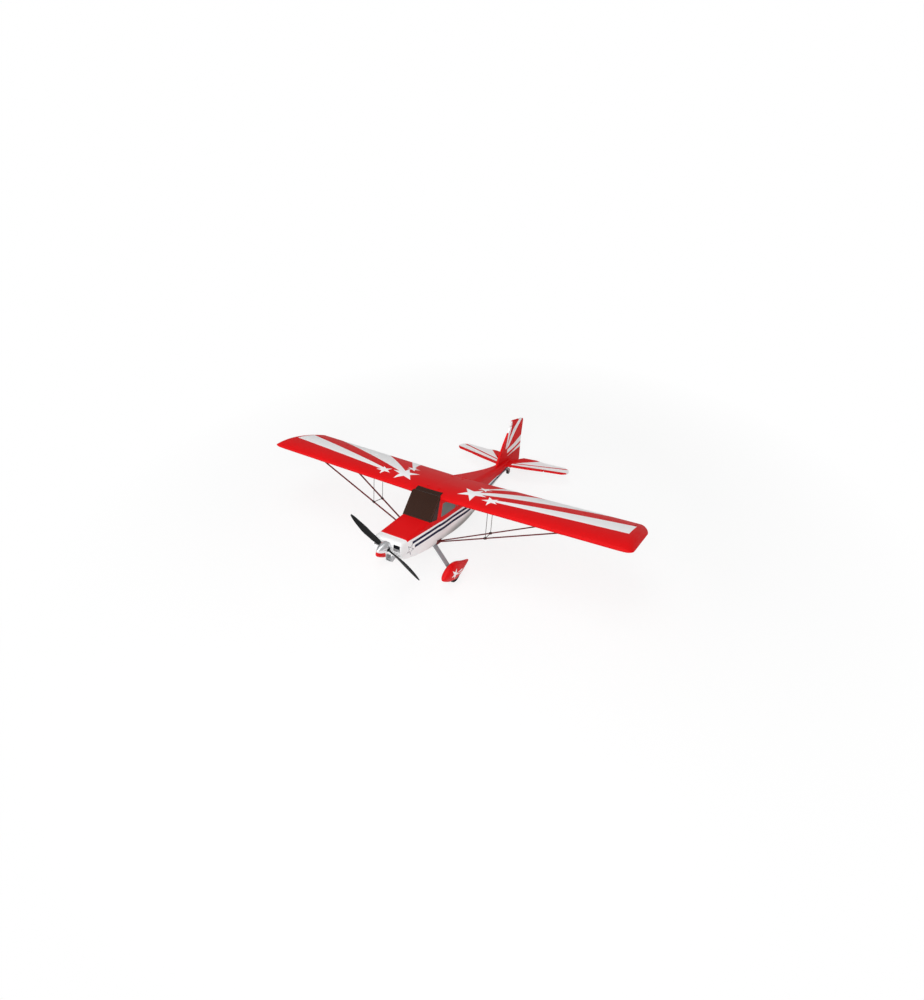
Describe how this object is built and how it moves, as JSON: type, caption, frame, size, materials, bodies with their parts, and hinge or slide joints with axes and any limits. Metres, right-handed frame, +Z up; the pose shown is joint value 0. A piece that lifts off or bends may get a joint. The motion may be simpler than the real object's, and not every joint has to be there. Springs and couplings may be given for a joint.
{
  "type": "radio-controlled model aeroplane",
  "caption": "High-wing foam model aeroplane: strutted wing with ailerons, tail with elevator and rudder, electric motor and propeller, fixed tail-dragger gear.",
  "frame": {"origin": "on the ground, midway across the wings and midway between the nose and the tail, as it stands on its three wheels", "axes": "+Z up, +X to the left wing (port), +Y aft"},
  "size_m": [1.4, 1.0186, 0.2992],
  "materials": {
    "red_foam": "painted moulded foam, satin",
    "white_plastic": "gloss",
    "tinted_glazing": "dark tinted clear sheet",
    "side_glazing": "grey tinted clear sheet",
    "nylon": "moulded nylon",
    "tyre": "matte",
    "steel_wire": "bright wire",
    "leg_alloy": "satin",
    "propeller_black": "semi-gloss",
    "spinner_silver": "satin silver",
    "motor_alloy": "machined",
    "plywood": "bare plywood",
    "dark_plastic": "matte",
    "battery_wrap": "shrink wrap",
    "strap": "woven",
    "carbon": "carbon tube",
    "strut_maroon": "satin"
  },
  "bodies": {
    "airframe": {"wing_panel_left": "red_foam", "wing_panel_right": "red_foam", "wing_tips": "red_foam", "wing_spar_sleeves": "carbon", "aileron_servos": "dark_plastic", "wing_joiner": "motor_alloy", "wing_bolts": "red_foam", "fin": "red_foam", "stabiliser": "red_foam", "surface_hinges": "nylon", "tail_servos": "dark_plastic", "servo_tray": "plywood", "battery_tray": "plywood", "battery": "battery_wrap", "battery_strap": "strap", "speed_controller": "dark_plastic", "receiver": "dark_plastic", "ply_mounts": "plywood", "gear_leg_left": "leg_alloy", "wheel_pant_left": "red_foam", "gear_leg_right": "leg_alloy", "wheel_pant_right": "red_foam", "gear_bolts": "steel_wire", "tail_bracket": "motor_alloy", "wing_struts_left": "strut_maroon", "wing_struts_right": "strut_maroon", "jury_struts": "steel_wire", "strut_brackets": "strut_maroon", "motor_base": "motor_alloy", "motor_mount": "dark_plastic", "nose_cowl": "white_plastic", "fuselage_left": "red_foam", "fuselage_right": "red_foam", "windshield": "tinted_glazing", "side_windows": "side_glazing"},
    "propeller": {"propeller": "propeller_black", "spinner": "spinner_silver", "motor_rotor": "motor_alloy"},
    "aileron_left": {"aileron_left": "red_foam", "aileron_horn_left": "nylon"},
    "aileron_right": {"aileron_right": "red_foam", "aileron_horn_right": "nylon"},
    "servo_arm_aileron_left": {"aileron_servo_arm_left": "nylon"},
    "servo_arm_aileron_right": {"aileron_servo_arm_right": "nylon"},
    "rod_aileron_left": {"aileron_pushrod_left": "steel_wire"},
    "rod_aileron_right": {"aileron_pushrod_right": "steel_wire"},
    "elevator": {"elevator": "red_foam", "elevator_horn": "nylon"},
    "servo_arm_elevator": {"elevator_servo_arm": "nylon"},
    "rod_elevator": {"elevator_pushrod": "steel_wire"},
    "rudder": {"rudder": "red_foam", "rudder_horn": "nylon"},
    "servo_arm_rudder": {"rudder_servo_arm": "nylon"},
    "rod_rudder": {"rudder_pushrod": "steel_wire"},
    "tail_fork": {"tail_fork": "steel_wire"},
    "steering_link": {"steering_link": "steel_wire"},
    "tail_wheel": {"tail_wheel": "tyre"},
    "wheel_left": {"wheel_left": "tyre"},
    "wheel_right": {"wheel_right": "tyre"},
    "battery_hatch": {"battery_hatch": "red_foam"}
  },
  "joints": [
    {"name": "propeller_spin", "type": "hinge", "parent": "airframe", "child": "propeller", "pos_m": [0, -0.46949, 0.22789], "axis": [0, 0.9715, -0.237], "continuous": true},
    {"name": "aileron_left_hinge", "type": "hinge", "parent": "airframe", "child": "aileron_left", "pos_m": [0.33102, -0.04941, 0.2283], "axis": [0.9998, 0.0053, 0.0217], "range_deg": [-22, 22]},
    {"name": "aileron_servo_left_turn", "type": "hinge", "parent": "airframe", "child": "servo_arm_aileron_left", "pos_m": [0.34604, -0.11683, 0.24374], "axis": [0.9998, 0.0053, 0.0217], "range_deg": [-22, 22]},
    {"name": "aileron_rod_left_pivot", "type": "hinge", "parent": "servo_arm_aileron_left", "child": "rod_aileron_left", "pos_m": [0.34642, -0.12172, 0.22746], "axis": [0.9998, 0.0053, 0.0217], "range_deg": [-22, 22]},
    {"name": "aileron_right_hinge", "type": "hinge", "parent": "airframe", "child": "aileron_right", "pos_m": [-0.33102, -0.04941, 0.2283], "axis": [0.9998, -0.0053, -0.0217], "range_deg": [-22, 22]},
    {"name": "aileron_servo_right_turn", "type": "hinge", "parent": "airframe", "child": "servo_arm_aileron_right", "pos_m": [-0.34604, -0.11683, 0.24374], "axis": [0.9998, -0.0053, -0.0217], "range_deg": [-22, 22]},
    {"name": "aileron_rod_right_pivot", "type": "hinge", "parent": "servo_arm_aileron_right", "child": "rod_aileron_right", "pos_m": [-0.34642, -0.12172, 0.22746], "axis": [0.9998, -0.0053, -0.0217], "range_deg": [-22, 22]},
    {"name": "elevator_hinge", "type": "hinge", "parent": "airframe", "child": "elevator", "pos_m": [0, 0.38327, 0.06105], "axis": [1, 0, 0], "range_deg": [-25, 25]},
    {"name": "elevator_servo_turn", "type": "hinge", "parent": "airframe", "child": "servo_arm_elevator", "pos_m": [0.008, -0.15078, 0.14191], "axis": [1, 0, 0], "range_deg": [-25, 25]},
    {"name": "elevator_rod_pivot", "type": "hinge", "parent": "servo_arm_elevator", "child": "rod_elevator", "pos_m": [0.008, -0.1541, 0.12831], "axis": [1, 0, 0], "range_deg": [-25, 25]},
    {"name": "rudder_hinge", "type": "hinge", "parent": "airframe", "child": "rudder", "pos_m": [0, 0.39767, 0.04415], "axis": [0, 0.237, 0.9715], "range_deg": [-28, 28]},
    {"name": "rudder_servo_turn", "type": "hinge", "parent": "airframe", "child": "servo_arm_rudder", "pos_m": [-0.008, -0.19331, 0.15743], "axis": [0, 0.237, 0.9715], "range_deg": [-28, 28]},
    {"name": "rudder_rod_pivot", "type": "hinge", "parent": "servo_arm_rudder", "child": "rod_rudder", "pos_m": [-0.024, -0.19331, 0.15743], "axis": [0, 0.237, 0.9715], "range_deg": [-28, 28]},
    {"name": "tail_wheel_steer", "type": "hinge", "parent": "airframe", "child": "tail_fork", "pos_m": [0, 0.35979, 0.0323], "axis": [0, 0.237, 0.9715], "range_deg": [-28, 28]},
    {"name": "steering_link_pivot", "type": "hinge", "parent": "tail_fork", "child": "steering_link", "pos_m": [0.012, 0.35979, 0.0323], "axis": [0, 0.237, 0.9715], "range_deg": [-28, 28]},
    {"name": "tail_wheel_spin", "type": "hinge", "parent": "tail_fork", "child": "tail_wheel", "pos_m": [0, 0.37336, 0.012], "axis": [1, 0, 0], "continuous": true},
    {"name": "wheel_left_spin", "type": "hinge", "parent": "airframe", "child": "wheel_left", "pos_m": [0.136, -0.29542, 0.03], "axis": [1, 0, 0], "continuous": true},
    {"name": "wheel_right_spin", "type": "hinge", "parent": "airframe", "child": "wheel_right", "pos_m": [-0.136, -0.29542, 0.03], "axis": [1, 0, 0], "continuous": true},
    {"name": "hatch_lift", "type": "slide", "parent": "airframe", "child": "battery_hatch", "axis": [0, 0.237, 0.9715], "range_m": [0, 0.06]}
  ],
  "couplings": [
    {"joint": "aileron_servo_left_turn", "follows": "aileron_left_hinge", "ratio": 1},
    {"joint": "aileron_rod_left_pivot", "follows": "aileron_left_hinge", "ratio": -1},
    {"joint": "aileron_right_hinge", "follows": "aileron_left_hinge", "ratio": -1},
    {"joint": "aileron_servo_right_turn", "follows": "aileron_left_hinge", "ratio": -1},
    {"joint": "aileron_rod_right_pivot", "follows": "aileron_left_hinge", "ratio": 1},
    {"joint": "elevator_servo_turn", "follows": "elevator_hinge", "ratio": 1},
    {"joint": "elevator_rod_pivot", "follows": "elevator_hinge", "ratio": -1},
    {"joint": "rudder_servo_turn", "follows": "rudder_hinge", "ratio": 1},
    {"joint": "rudder_rod_pivot", "follows": "rudder_hinge", "ratio": -1},
    {"joint": "tail_wheel_steer", "follows": "rudder_hinge", "ratio": 1},
    {"joint": "steering_link_pivot", "follows": "rudder_hinge", "ratio": -1}
  ]
}
